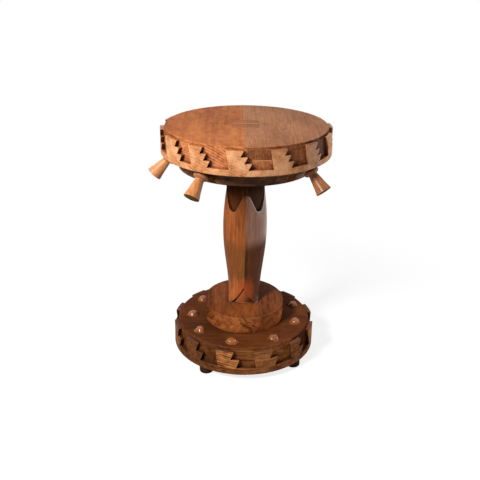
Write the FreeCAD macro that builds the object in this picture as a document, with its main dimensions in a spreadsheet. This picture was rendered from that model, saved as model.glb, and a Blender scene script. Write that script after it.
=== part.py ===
import FreeCAD, Part
import math
import os
import Sketcher

# A round side table carved like a drum.
# Two thick boards make the top, with a stepped frieze carved round their rim.
# A disc under them carries slanted drum pegs, and a four-sided carved column
# stands through a plinth and a second carved disc on four small feet.
# The origin is on the floor, on the column's axis, with Z up.
# The column's four faces look along X and Y. Angles run from X towards Y.

SIZES = {
    # heights of what is stacked from the floor up
    "foot_height": 18,
    "base_thickness": 69,
    "plinth_thickness": 53,
    "column_length": 352,
    "cleat_thickness": 35.5,
    "board_thickness": 62.5,
    # the two top boards
    "top_radius": 190,
    "top_edge_round": 2,
    "rim_stand_out": 10.5,
    "frieze_edge_round": 2,
    "panel_drop": 5.5,
    "seam_offset": 5.3,
    "grain_angle": 47.1,
    # the frieze round the rim
    "rim_recess_count": 14,
    "rim_recess_angle": 51.1,
    "rim_floor_stand_out": 1,
    "rim_recess_width": 50,
    "rim_tooth_height": 14.4,
    "rim_tooth_step": 8.5,
    "rim_tooth_slant": 7,
    "rim_panel_lean": 7.5,
    # the base disc and its frieze
    "base_top_radius": 167,
    "base_stand_out": 11.5,
    "base_edge_round": 3,
    "base_panel_drop": 6,
    "base_recess_count": 12,
    "base_recess_angle": 45.5,
    "base_floor_stand_out": 1,
    "base_recess_width": 47.5,
    "base_tooth_height": 22.7,
    "base_tooth_step": 13.5,
    "base_tooth_slant": 8,
    "base_panel_lean": 6.5,
    # the plinth between the base disc and the column, whose top falls away towards one side
    "plinth_inset": 67.5,
    "plinth_crown_offset": 22,
    "plinth_crown_angle": 135,
    "plinth_flat_radius": 72,
    "plinth_slope_angle": 12.5,
    "plinth_crown_bulge": 1.2,
    # the disc under the boards
    "cleat_inset": 30,
    "cleat_edge_round": 3,
    # the column, given by its arris and by the middle of its faces
    "foot_arris": 42,
    "foot_face": 48.5,
    "ankle_level": 43,
    "ankle_arris": 40.5,
    "ankle_face": 38.5,
    "calf_level": 102,
    "calf_arris": 47.1,
    "calf_face": 43.2,
    "belly_level": 184,
    "belly_arris": 54,
    "belly_face": 49.2,
    "shoulder_level": 263,
    "shoulder_arris": 49.9,
    "shoulder_face": 45.8,
    "crown_arris": 37,
    "crown_face": 34.5,
    "foot_twist_angle": -2.5,
    "ankle_twist_angle": -1.7,
    "calf_twist_angle": 0.8,
    "belly_twist_angle": 3.6,
    "shoulder_twist_angle": 3.4,
    "crown_twist_angle": 2,
    # the turned core that shows in the column's scoops and arches
    "neck_radius": 46.2,
    "neck_length": 56,
    "throat_radius": 38.5,
    "throat_level": 237,
    "core_radius": 26,
    "core_start_level": 87,
    "instep_radius": 36.5,
    "instep_level": 45,
    "heel_radius": 40,
    # the scoops at the top of each face and the arches at the foot of each arris
    "scoop_bottom_level": 244,
    "scoop_bottom_round": 14,
    "scoop_half_angle": 22,
    "scoop_floor": 31,
    "arch_apex_level": 42,
    "arch_half_width": 31.5,
    "arch_bulge": 3.4,
    "arch_floor": 33,
    # the column's tenons, their wedges and the mortises
    "tenon_width": 60,
    "tenon_depth": 65,
    "tenon_offset": 2.5,
    "lower_tenon": 50,
    "wedge_offset": 5.5,
    "wedge_thick": 5,
    "wedge_thin": 2,
    "wedge_length": 45,
    "joint_gap": 0.15,
    # the drum pegs
    "peg_seat_inset": 24,
    "peg_slope_angle": 47,
    "peg_reach": 74.5,
    "peg_cone_length": 46,
    "peg_end_radius": 18.5,
    "peg_end_dome": 1.5,
    "peg_neck_radius": 10,
    "bead_radius": 17.5,
    "bead_width": 12,
    "bead_bulge": 5.5,
    "peg_spigot_radius": 8,
    "peg_spigot_depth": 28,
    "peg_1_angle": -128.7,
    "peg_2_angle": -77.5,
    "peg_3_angle": 8.2,
    "peg_4_angle": 87.5,
    "peg_5_angle": 167,
    # the carved knobs on the base disc
    "knob_inset": 29.5,
    "knob_radius": 15.5,
    "knob_height": 9,
    "knob_spigot_radius": 5,
    "knob_spigot_depth": 16,
    "knob_1_angle": -169,
    "knob_2_angle": -132,
    "knob_3_angle": -96.2,
    "knob_4_angle": -56.5,
    "knob_5_angle": -13.3,
    "knob_6_angle": 29.7,
    "knob_7_angle": 66.2,
    "knob_8_angle": 107.5,
    "knob_9_angle": 149,
    # the feet and the screws
    "foot_inset": 6.5,
    "foot_radius": 17,
    "foot_round": 4,
    "foot_1_angle": -79,
    "foot_2_angle": 6.4,
    "foot_3_angle": 98,
    "foot_4_angle": 187,
    "screw_head_radius": 4.5,
    "screw_head_depth": 4,
    "screw_radius": 2.25,
    "screw_point": 3,
    "screw_gap": 0.1,
    "foot_screw_length": 36,
    "foot_screw_sink": 5,
    "cleat_screw_length": 60,
    "cleat_screw_inset": 45,
    "cleat_screw_count": 6,
    "cleat_screw_angle": 17.5,
    # the dowels across the seam of the top boards
    "dowel_radius": 5,
    "dowel_length": 60,
    "dowel_tenon_distance": 53,
    "dowel_rim_inset": 30,
    "dowel_spare": 1,
    # how far a cutting shape runs past what it cuts
    "overrun": 10,
}

PEG_COUNT = 5
FOOT_COUNT = 4
ARRIS_COUNT = 4
RIM_TEETH = 3
BASE_TEETH = 2
# The knobs are set by eye, so each stands a little off the ring.
KNOB_RING_SHARES = (0.96, 0.95, 1, 1.02, 1.02, 0.99, 1.015, 1, 0.98)
# The recesses are cut by eye too. Where the two sides of one lie from its middle,
# as shares of the usual width, by its number both ways round from the first.
EVEN_SIDE_SHARES = (-0.5, 0.5)
RIM_SIDE_SHARES = {-2: (-0.26, 0.5), -1: (-0.55, 0.5), 0: (-0.52, 0.62), 1: (-0.41, 0.58)}
BASE_SIDE_SHARES = {-2: (-0.4, 0.5), -1: (-0.54, 0.5), 1: (-0.42, 0.68)}

doc = FreeCAD.newDocument("drum_table")
sheet = doc.addObject("Spreadsheet::Sheet", "sizes")
for row, (word, size) in enumerate(SIZES.items(), start=1):
    sheet.set(f"A{row}", word)
    sheet.set(f"B{row}", str(size))
    sheet.setAlias(f"B{row}", word)
doc.recompute()

# Levels above the floor, each as an expression on the sheet.
BASE_BOTTOM = "sizes.foot_height"
BASE_TOP = f"({BASE_BOTTOM} + sizes.base_thickness)"
PLINTH_TOP = f"({BASE_TOP} + sizes.plinth_thickness)"
CLEAT_BOTTOM = f"({PLINTH_TOP} + sizes.column_length)"
BOARD_BOTTOM = f"({CLEAT_BOTTOM} + sizes.cleat_thickness)"
TABLE_TOP = f"({BOARD_BOTTOM} + sizes.board_thickness)"

# What stands on a disc keeps its distance from that disc's edge.
RIM_RADIUS = "(sizes.top_radius + sizes.rim_stand_out)"
RIM_FLOOR = "(sizes.top_radius + sizes.rim_floor_stand_out)"
BASE_RADIUS = "(sizes.base_top_radius + sizes.base_stand_out)"
BASE_FLOOR = "(sizes.base_top_radius + sizes.base_floor_stand_out)"
CLEAT_RADIUS = "(sizes.top_radius - sizes.cleat_inset)"
CLEAT_SCREW_RING = f"({CLEAT_RADIUS} - sizes.cleat_screw_inset)"
PEG_SEAT_RADIUS = "(sizes.top_radius - sizes.peg_seat_inset)"
PLINTH_RADIUS = "(sizes.base_top_radius - sizes.plinth_inset)"
KNOB_RING = "(sizes.base_top_radius - sizes.knob_inset)"
FOOT_RING = "(sizes.base_top_radius - sizes.foot_inset)"

# The share of a quarter round's radius that its arc stands proud of its chord.
QUARTER_BULGE_SHARE = "(1 - sqrt(0.5))"
# A bulge that is part of a ball with its centre on the axis.
DOME = "dome"

pieces = {}


def number(expression):
    """The value of an expression on the sheet."""
    return float(sheet.evalExpression(expression))


def piece(label, thing):
    """Keep one finished sub-part under its own name."""
    thing.Label = label
    pieces[label] = thing
    return thing


def new_body(name):
    return doc.addObject("PartDesign::Body", name)


def origin_feature(body, role):
    """One of a body's own planes or axes."""
    return next(f for f in body.Origin.OriginFeatures if f.Role == role)


def new_sketch(body, name, role, lift="0", turn="0"):
    """A sketch on a body's own plane, lifted along its normal and turned about it or Z."""
    sketch = body.newObject("Sketcher::SketchObject", name)
    sketch.AttachmentSupport = [(origin_feature(body, role), "")]
    sketch.MapMode = "FlatFace"
    axis = "vector(0; 0; 1)" if role == "XY_Plane" else "vector(0; 1; 0)"
    rotation = f"rotation({axis}; {turn})"
    place = f"placement({rotation} * vector(0; 0; {lift}); {rotation})"
    sketch.setExpression("AttachmentOffset", place)
    return sketch


def pin_point(sketch, edge, end, across, up, word):
    """Hold one sketch point at a place given by two expressions."""
    sides = (("DistanceX", -2, across, "across"), ("DistanceY", -1, up, "up"))
    for kind, axis_line, place, tag in sides:
        if place == "0":
            sketch.addConstraint(Sketcher.Constraint("PointOnObject", edge, end, axis_line))
            continue
        index = sketch.addConstraint(Sketcher.Constraint(kind, -1, 1, edge, end, number(place)))
        sketch.renameConstraint(index, f"{tag}_{word}")
        sketch.setExpression(f"Constraints.{tag}_{word}", place)


def bulge_height(bulge, start, end):
    """How far an arc stands from its chord. A dome's arc ends on the axis, level there."""
    if bulge != DOME:
        return number(bulge)
    ball = ((start.x - end.x) ** 2 + (end.y - start.y) ** 2) / 2 / abs(end.y - start.y)
    return ball - math.sqrt(ball ** 2 - start.distanceToPoint(end) ** 2 / 4)


def trace(sketch, corners, bulges=None):
    """Close an outline through corners. A bulge makes the edge after its corner an arc,
    which swells to the right of the way the outline runs."""
    bulges = bulges or {}
    spots = [FreeCAD.Vector(number(across), number(up), 0) for across, up in corners]
    count = len(spots)
    for index, start in enumerate(spots):
        end = spots[(index + 1) % count]
        if index in bulges:
            way = (end - start).normalize()
            swell = FreeCAD.Vector(way.y, -way.x, 0) * bulge_height(bulges[index], start, end)
            sketch.addGeometry(Part.Arc(start, (start + end) * 0.5 + swell, end), False)
        else:
            sketch.addGeometry(Part.LineSegment(start, end), False)
    ends = []
    for index, start in enumerate(spots):
        near = sketch.getPoint(index, 1).distanceToPoint(start)
        far = sketch.getPoint(index, 2).distanceToPoint(start)
        ends.append((1, 2) if near < far else (2, 1))
    for index, (first, last) in enumerate(ends):
        after = (index + 1) % count
        sketch.addConstraint(Sketcher.Constraint("Coincident", index, last, after, ends[after][0]))
        pin_point(sketch, index, first, *corners[index], str(index))
    for index, bulge in bulges.items():
        if bulge == DOME:
            sketch.addConstraint(Sketcher.Constraint("PointOnObject", index, 3, -2))
            continue
        (x_one, y_one), (x_two, y_two) = corners[index], corners[(index + 1) % count]
        half_squared = f"((({x_two}) - ({x_one}))^2 + (({y_two}) - ({y_one}))^2) / 4"
        radius = f"({half_squared} + abs({bulge})^2) / (2 * abs({bulge}))"
        place = sketch.addConstraint(Sketcher.Constraint("Radius", index, number(radius)))
        sketch.renameConstraint(place, f"radius_{index}")
        sketch.setExpression(f"Constraints.radius_{index}", radius)


def turned_body(name, corners, bulges=None):
    """A body of revolution about its own Z axis."""
    body = new_body(name)
    add_turning(body, f"{name}_profile", corners, bulges)
    return body


def add_turning(body, name, corners, bulges=None):
    sketch = new_sketch(body, name, "XZ_Plane")
    trace(sketch, corners, bulges)
    turning = body.newObject("PartDesign::Revolution", f"{name}_turned")
    turning.Profile = sketch
    turning.ReferenceAxis = (sketch, ["V_Axis"])
    turning.Angle = 360
    sketch.Visibility = False
    doc.recompute()
    return turning


def pocket(body, sketch, depth):
    """Cut a sketch inwards, towards the axis, and make sure that it cut."""
    before = body.Shape.Volume
    cut = body.newObject("PartDesign::Pocket", f"{sketch.Name}_cut")
    cut.Profile = sketch
    cut.setExpression("Length", depth)
    doc.recompute()
    if not body.Shape.Volume < before:
        cut.Reversed = True
        doc.recompute()
    if not body.Shape.Volume < before:
        raise RuntimeError(f"{sketch.Name} cuts nothing")
    return cut


def ring_pattern(body, feature, count):
    """Repeat a feature round the body's Z axis."""
    pattern = body.newObject("PartDesign::PolarPattern", f"{feature.Name}_ring")
    pattern.Originals = [feature]
    pattern.Axis = (origin_feature(body, "Z_Axis"), [""])
    pattern.Angle = 360
    pattern.setExpression("Occurrences", count)
    body.Tip = pattern
    doc.recompute()
    return pattern


def spin(turn):
    """The rotation by an angle about the table's axis."""
    return f"rotation(vector(0; 0; 1); {turn})"


def stand(thing, turn):
    """Turn a thing about the table's axis."""
    thing.setExpression("Placement", f"placement(vector(0; 0; 0); {spin(turn)})")
    return thing


def ring_place(radius, level, turn):
    """A placement at a radius and a level, turned about the table's axis."""
    return f"placement({spin(turn)} * vector({radius}; 0; {level}); {spin(turn)})"


def block(name, low, size, turn):
    """A box from its low corner, turned about the table's axis."""
    box = doc.addObject("Part::Box", name)
    for side, value in zip(("Length", "Width", "Height"), size):
        box.setExpression(side, value)
    corner = f"{spin(turn)} * vector({low[0]}; {low[1]}; {low[2]})"
    box.setExpression("Placement", f"placement({corner}; {spin(turn)})")
    return box


def rod(name, radius, height, place):
    """A cylinder at a placement given as an expression."""
    cylinder = doc.addObject("Part::Cylinder", name)
    cylinder.setExpression("Radius", radius)
    cylinder.setExpression("Height", height)
    cylinder.setExpression("Placement", place)
    return cylinder


def gather(name, things):
    fused = doc.addObject("Part::MultiFuse", name)
    fused.Shapes = things
    return fused


def cut_from(name, base, tools):
    """The base less all of its tools."""
    cut = doc.addObject("Part::Cut", name)
    cut.Base = base
    cut.Tool = tools[0] if len(tools) == 1 else gather(f"{name}_tools", tools)
    return cut


def carved_disc(name, words, bottom, thickness, teeth, side_shares):
    """A thick disc with a frieze: proud panels whose right side steps outwards in teeth,
    and flat recesses between them that stop at a plain band."""
    rim, lip, floor, count, width, tall, step, slant, lean, drop, edge, top_edge = words
    top = f"({bottom} + {thickness})"
    ledge = f"({top} - {drop})"
    body = turned_body(
        name,
        [
            ("0", bottom),
            (f"{rim} - {edge}", bottom),
            (rim, f"{bottom} + {edge}"),
            (rim, ledge),
            (lip, ledge),
            (lip, f"{top} - {top_edge}"),
            (f"{lip} - {top_edge}", top),
            ("0", top),
        ],
        {1: f"{edge} * {QUARTER_BULGE_SHARE}", 5: f"{top_edge} * {QUARTER_BULGE_SHARE}"},
    )
    band = f"({ledge} - {teeth} * {tall})"
    recesses = int(number(count))
    for place in range(recesses):
        both_ways = place if place < recesses / 2 else place - recesses
        left_share, right_share = side_shares.get(both_ways, EVEN_SIDE_SHARES)
        left, right = f"({left_share} * {width})", f"({right_share} * {width})"
        outline = [
            (f"{right} + {lean}", band),
            (right, ledge),
            (right, f"{ledge} + sizes.overrun"),
            (left, f"{ledge} + sizes.overrun"),
        ]
        for tooth in range(teeth):
            edge_top = f"({left} + {tooth} * {step})"
            outline.append((edge_top, f"{ledge} - {tooth} * {tall}"))
            outline.append((f"{edge_top} - {slant}", f"{ledge} - {tooth + 1} * {tall}"))
        sketch = new_sketch(
            body, f"{name}_recess_{place}", "XZ_Plane",
            lift=f"({rim} + sizes.overrun)", turn=f"({place} * 360 / {count})",
        )
        trace(sketch, outline)
        pocket(body, sketch, f"{rim} + sizes.overrun - {floor}")
    return body


def screw(name, length):
    """A countersunk wood screw along Z, its head's face at zero and its point up."""
    shank_end = f"{length} - sizes.screw_point"
    return turned_body(
        name,
        [
            ("0", "0"),
            ("sizes.screw_head_radius", "0"),
            ("sizes.screw_radius", "sizes.screw_head_depth"),
            ("sizes.screw_radius", shank_end),
            ("0", length),
        ],
    )


def screw_bore(name, length, sink):
    """The hole for such a screw, with its countersink and the well above its head."""
    wide = "sizes.screw_head_radius + sizes.screw_gap"
    thin = "sizes.screw_radius + sizes.screw_gap"
    return turned_body(
        name,
        [
            ("0", f"-({sink})"),
            (wide, f"-({sink})"),
            (wide, "0"),
            (thin, "sizes.screw_head_depth"),
            (thin, f"{length} - sizes.screw_point"),
            ("0", length),
        ],
    )


def copies(name, source, places):
    """Linked copies of one shape at several placements."""
    made = []
    for index, place in enumerate(places, start=1):
        copy = doc.addObject("Part::Compound", f"{name}_{index}")
        copy.Links = [source]
        copy.setExpression("Placement", place)
        made.append(copy)
    return made


# The drum pegs point outwards and down from the corner under the boards.
def peg_place(index, along="0"):
    """Where a peg's own Z axis lies: from its seat, outwards and down."""
    turn = f"sizes.peg_{index}_angle"
    tilt = "rotation(vector(0; 1; 0); 90 + sizes.peg_slope_angle)"
    seat = f"{spin(turn)} * vector({PEG_SEAT_RADIUS}; 0; {BOARD_BOTTOM})"
    aim = f"{spin(turn)} * {tilt}"
    return f"placement({seat} + {aim} * vector(0; 0; {along}); {aim})"


def make_pegs():
    cone_start = "(sizes.peg_reach - sizes.peg_cone_length)"
    bead_start = f"({cone_start} - sizes.bead_width)"
    bead_flat = "(sizes.bead_radius - sizes.bead_bulge)"
    for index in range(1, PEG_COUNT + 1):
        body = turned_body(
            f"peg_{index}",
            [
                ("0", "-sizes.peg_spigot_depth"),
                ("sizes.peg_spigot_radius", "-sizes.peg_spigot_depth"),
                ("sizes.peg_spigot_radius", bead_start),
                (bead_flat, bead_start),
                (bead_flat, cone_start),
                ("sizes.peg_neck_radius", cone_start),
                ("sizes.peg_end_radius", "sizes.peg_reach"),
                ("0", "sizes.peg_reach + sizes.peg_end_dome"),
            ],
            {3: "sizes.bead_bulge", 6: DOME},
        )
        body.setExpression("Placement", peg_place(index))
        piece(f"drum_peg_{index}", body)


def peg_bores():
    """The slanted holes that the pegs' spigots are glued into."""
    depth = "(sizes.peg_spigot_depth + sizes.joint_gap)"
    return [
        rod(
            f"peg_bore_{index}",
            "sizes.peg_spigot_radius + sizes.joint_gap",
            f"{depth} + sizes.overrun",
            peg_place(index, f"-{depth}"),
        )
        for index in range(1, PEG_COUNT + 1)
    ]


def mortise(name, width, depth, bottom, height, offset="0"):
    """A square hole for a tenon, with the joint's clearance round it."""
    wide = f"({width} + 2 * sizes.joint_gap)"
    deep = f"({depth} + 2 * sizes.joint_gap)"
    low = (f"-{offset} - {wide} / 2", f"-{deep} / 2", bottom)
    return block(name, low, (wide, deep, height), "sizes.grain_angle")


# The dowels lie across the seam, on both sides of the mortise.
def dowel_places(length):
    inner = "(sizes.tenon_depth / 2 + sizes.dowel_tenon_distance)"
    outer = "(sizes.top_radius - sizes.dowel_rim_inset)"
    spots = [inner, outer, f"-{inner}", f"-{outer}"]
    level = f"({BOARD_BOTTOM} + sizes.board_thickness / 2)"
    lying = "rotation(vector(0; 1; 0); 90)"
    turn = spin("sizes.grain_angle")
    return [
        f"placement({turn} * vector(-sizes.seam_offset - {length} / 2; {spot}; {level}); {turn} * {lying})"
        for spot in spots
    ]


def make_boards():
    """Two boards, glued edge to edge and carved as one disc."""
    words = [
        RIM_RADIUS, "sizes.top_radius", RIM_FLOOR,
        "sizes.rim_recess_count", "sizes.rim_recess_width",
        "sizes.rim_tooth_height", "sizes.rim_tooth_step", "sizes.rim_tooth_slant",
        "sizes.rim_panel_lean", "sizes.panel_drop", "sizes.frieze_edge_round", "sizes.top_edge_round",
    ]
    disc = carved_disc(
        "carved_top", words, BOARD_BOTTOM, "sizes.board_thickness", RIM_TEETH, RIM_SIDE_SHARES,
    )
    stand(disc, "sizes.rim_recess_angle")
    hole = mortise(
        "top_mortise", "sizes.tenon_width", "sizes.tenon_depth",
        f"({BOARD_BOTTOM} - sizes.overrun)", "sizes.board_thickness + 2 * sizes.overrun",
        "sizes.tenon_offset",
    )
    dowel_bore_length = "(sizes.dowel_length + 2 * sizes.dowel_spare)"
    dowel_bores = [
        rod(f"dowel_bore_{index}", "sizes.dowel_radius + sizes.joint_gap", dowel_bore_length, place)
        for index, place in enumerate(dowel_places(dowel_bore_length), start=1)
    ]
    holes = [hole] + peg_bores() + dowel_bores + cleat_screw_bores("top")
    drilled = cut_from("drilled_top", disc, holes)
    reach = f"({RIM_RADIUS} + sizes.overrun)"
    low = f"({BOARD_BOTTOM} - sizes.overrun)"
    tall = "sizes.board_thickness + 2 * sizes.overrun"
    left_box = block(
        "left_side", (f"-{reach}", f"-{reach}", low),
        (f"{reach} - sizes.seam_offset", f"2 * {reach}", tall), "sizes.grain_angle",
    )
    right_box = block(
        "right_side", ("-sizes.seam_offset", f"-{reach}", low),
        (f"{reach} + sizes.seam_offset", f"2 * {reach}", tall), "sizes.grain_angle",
    )
    for side, box in (("left", left_box), ("right", right_box)):
        half = doc.addObject("Part::MultiCommon", f"{side}_half")
        half.Shapes = [drilled, box]
        piece(f"top_board_{side}", half)
    dowels = [
        rod(f"seam_dowel_{index}", "sizes.dowel_radius", "sizes.dowel_length", place)
        for index, place in enumerate(dowel_places("sizes.dowel_length"), start=1)
    ]
    group = doc.addObject("Part::Compound", "dowel_group")
    group.Links = dowels
    piece("seam_dowels", group)


# The screws that hold the cleat disc up against both boards.
def cleat_screw_places():
    turns = [
        f"(sizes.cleat_screw_angle + {index} * 360 / sizes.cleat_screw_count)"
        for index in range(int(number("sizes.cleat_screw_count")))
    ]
    return [ring_place(CLEAT_SCREW_RING, CLEAT_BOTTOM, turn) for turn in turns]


def cleat_screw_bores(name):
    shape = screw_bore(f"{name}_cleat_bore", "sizes.cleat_screw_length", "sizes.overrun")
    return copies(f"{name}_cleat_bore_at", shape, cleat_screw_places())


def make_cleat():
    """The disc under the boards, which carries the pegs and the column's shoulder."""
    blank = turned_body(
        "cleat_blank",
        [
            ("0", CLEAT_BOTTOM),
            (f"{CLEAT_RADIUS} - sizes.cleat_edge_round", CLEAT_BOTTOM),
            (CLEAT_RADIUS, f"{CLEAT_BOTTOM} + sizes.cleat_edge_round"),
            (CLEAT_RADIUS, BOARD_BOTTOM),
            ("0", BOARD_BOTTOM),
        ],
        {1: f"sizes.cleat_edge_round * {QUARTER_BULGE_SHARE}"},
    )
    hole = mortise(
        "cleat_mortise", "sizes.tenon_width", "sizes.tenon_depth",
        f"({CLEAT_BOTTOM} - sizes.overrun)", "sizes.cleat_thickness + 2 * sizes.overrun",
        "sizes.tenon_offset",
    )
    peg_notches = [
        rod(
            f"peg_notch_{index}", "sizes.peg_spigot_radius + sizes.joint_gap",
            "sizes.peg_spigot_depth + sizes.overrun", peg_place(index, "-sizes.peg_spigot_depth"),
        )
        for index in range(1, PEG_COUNT + 1)
    ]
    holes = [hole] + peg_notches + cleat_screw_bores("under")
    piece("under_disc", cut_from("drilled_cleat", blank, holes))
    shape = screw("cleat_screw", "sizes.cleat_screw_length")
    group = doc.addObject("Part::Compound", "cleat_screw_group")
    group.Links = copies("cleat_screw_at", shape, cleat_screw_places())
    piece("under_disc_screws", group)


def arris_section(body, word, height):
    """One four-sided section with bowed sides. Before its turn, the arrises stand at
    45 degrees and the faces look towards X and Y."""
    arris, face = f"sizes.{word}_arris", f"sizes.{word}_face"
    level = f"({PLINTH_TOP} + {height})"
    turn = f"sizes.{word}_twist_angle"
    sketch = new_sketch(body, f"section_{word}", "XY_Plane", lift=level, turn=turn)
    half = f"({arris} * cos(45))"
    sagitta = f"({face} - {half})"
    radius = f"(({half})^2 + ({sagitta})^2) / (2 * {sagitta})"
    corner, swell, bow = number(half), number(sagitta), number(radius)
    reach = bow - number(face)
    corners = [FreeCAD.Vector(a, b, 0) * corner for a, b in ((1, -1), (1, 1), (-1, 1), (-1, -1))]
    outs = [FreeCAD.Vector(a, b, 0) for a, b in ((1, 0), (0, 1), (-1, 0), (0, -1))]
    for index, out in enumerate(outs):
        start, end = corners[index], corners[(index + 1) % ARRIS_COUNT]
        sketch.addGeometry(Part.Arc(start, out * (corner + swell), end), False)
    for index, out in enumerate(outs):
        after = (index + 1) % ARRIS_COUNT
        sketch.addConstraint(Sketcher.Constraint("Coincident", index, 2, after, 1))
        place = sketch.addConstraint(Sketcher.Constraint("Radius", index, bow))
        sketch.renameConstraint(place, f"bow_{index}")
        sketch.setExpression(f"Constraints.bow_{index}", radius)
        along, across = ("DistanceX", -1) if out.x else ("DistanceY", -2)
        sketch.addConstraint(Sketcher.Constraint("PointOnObject", index, 3, across))
        sign = "-" if out.x + out.y > 0 else ""
        centre = (-reach if sign else reach)
        place = sketch.addConstraint(Sketcher.Constraint(along, -1, 1, index, 3, centre))
        sketch.renameConstraint(place, f"centre_{index}")
        sketch.setExpression(f"Constraints.centre_{index}", f"{sign}({radius} - {face})")
    return sketch


def make_column():
    """The carved column: four bowed faces with leaves rising along the arrises, round a turned core."""
    body = new_body("column_body")
    sections = [
        arris_section(body, word, height)
        for word, height in (
            ("foot", "0"),
            ("ankle", "sizes.ankle_level"),
            ("calf", "sizes.calf_level"),
            ("belly", "sizes.belly_level"),
            ("shoulder", "sizes.shoulder_level"),
            ("crown", "sizes.column_length"),
        )
    ]
    doc.recompute()
    loft = body.newObject("PartDesign::AdditiveLoft", "four_faces")
    loft.Profile = sections[0]
    loft.Sections = sections[1:]
    doc.recompute()

    # A scoop in the top of each face: straight sides that meet in a round bottom.
    outside = "(sizes.belly_arris + sizes.overrun)"
    bottom = f"({PLINTH_TOP} + sizes.scoop_bottom_level)"
    tangent_out = "(sizes.scoop_bottom_round * cos(sizes.scoop_half_angle))"
    tangent_up = f"({bottom} + sizes.scoop_bottom_round * (1 - sin(sizes.scoop_half_angle)))"
    high = f"({CLEAT_BOTTOM} + sizes.overrun)"
    wide = f"({tangent_out} + ({high} - {tangent_up}) * tan(sizes.scoop_half_angle))"
    scoop = new_sketch(body, "scoop", "XZ_Plane", lift=outside, turn="sizes.shoulder_twist_angle")
    trace(
        scoop,
        [
            (f"-{tangent_out}", tangent_up),
            (tangent_out, tangent_up),
            (wide, high),
            (f"-{wide}", high),
        ],
        {0: "sizes.scoop_bottom_round * (1 - sin(sizes.scoop_half_angle))"},
    )
    ring_pattern(body, pocket(body, scoop, f"{outside} - sizes.scoop_floor"), str(ARRIS_COUNT))

    # A pointed arch in the foot of each arris, which leaves a petal on each face.
    arch = new_sketch(body, "arch", "XZ_Plane", lift=outside, turn="45 + sizes.foot_twist_angle")
    apex = f"({PLINTH_TOP} + sizes.arch_apex_level)"
    low = f"({PLINTH_TOP} - sizes.overrun)"
    trace(
        arch,
        [
            ("0", apex),
            ("-sizes.arch_half_width", PLINTH_TOP),
            ("-sizes.arch_half_width", low),
            ("sizes.arch_half_width", low),
            ("sizes.arch_half_width", PLINTH_TOP),
        ],
        {0: "-sizes.arch_bulge", 4: "-sizes.arch_bulge"},
    )
    ring_pattern(body, pocket(body, arch, f"{outside} - sizes.arch_floor"), str(ARRIS_COUNT))

    # The core: a neck above the scoops and a flared heel behind the arches.
    add_turning(
        body,
        "core",
        [
            ("0", PLINTH_TOP),
            ("sizes.heel_radius", PLINTH_TOP),
            ("sizes.instep_radius", f"{PLINTH_TOP} + sizes.instep_level"),
            ("sizes.core_radius", f"{PLINTH_TOP} + sizes.core_start_level"),
            ("sizes.throat_radius", f"{PLINTH_TOP} + sizes.throat_level"),
            ("sizes.neck_radius", f"{CLEAT_BOTTOM} - sizes.neck_length"),
            ("sizes.neck_radius", CLEAT_BOTTOM),
            ("0", CLEAT_BOTTOM),
        ],
    )

    # The tenons at both ends.
    for name, width, depth, offset, foot, length in (
        ("upper_tenon", "sizes.tenon_width", "sizes.tenon_depth", "sizes.tenon_offset", CLEAT_BOTTOM,
         "sizes.cleat_thickness + sizes.board_thickness"),
        ("lower_tenon", "sizes.lower_tenon", "sizes.lower_tenon", "0", BASE_BOTTOM,
         "sizes.base_thickness + sizes.plinth_thickness"),
    ):
        sketch = new_sketch(body, name, "XY_Plane", lift=foot, turn="sizes.grain_angle")
        left, right = f"(-{offset} - {width} / 2)", f"({width} / 2 - {offset})"
        near, far = f"(-{depth} / 2)", f"({depth} / 2)"
        trace(sketch, [(left, near), (right, near), (right, far), (left, far)])
        pad = body.newObject("PartDesign::Pad", f"{name}_pad")
        pad.Profile = sketch
        pad.setExpression("Length", length)
        doc.recompute()
    body.Tip = body.Group[-1]
    kerfs = [wedge_solid("upper_kerf", True), wedge_solid("lower_kerf", False)]
    piece("column", cut_from("column_with_kerfs", body, kerfs))


def wedge_solid(name, upper):
    """A wedge across a tenon's end, thick at the face and thin at its point."""
    body = new_body(name)
    face, way = (TABLE_TOP, "-") if upper else (BASE_BOTTOM, "+")
    middle, offset = ("sizes.wedge_offset", "sizes.tenon_offset") if upper else ("0", "0")
    point = f"({face} {way} sizes.wedge_length)"
    width = "sizes.tenon_width" if upper else "sizes.lower_tenon"
    sketch = new_sketch(body, f"{name}_profile", "YZ_Plane", lift=f"(-{offset} - {width} / 2)")
    trace(
        sketch,
        [
            (f"{middle} - sizes.wedge_thick / 2", face),
            (f"{middle} + sizes.wedge_thick / 2", face),
            (f"{middle} + sizes.wedge_thin / 2", point),
            (f"{middle} - sizes.wedge_thin / 2", point),
        ],
    )
    pad = body.newObject("PartDesign::Pad", f"{name}_pad")
    pad.Profile = sketch
    pad.setExpression("Length", width)
    return stand(body, "sizes.grain_angle")


def make_wedges():
    piece("top_tenon_wedge", wedge_solid("top_wedge", True))
    piece("foot_tenon_wedge", wedge_solid("foot_wedge", False))


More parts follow.
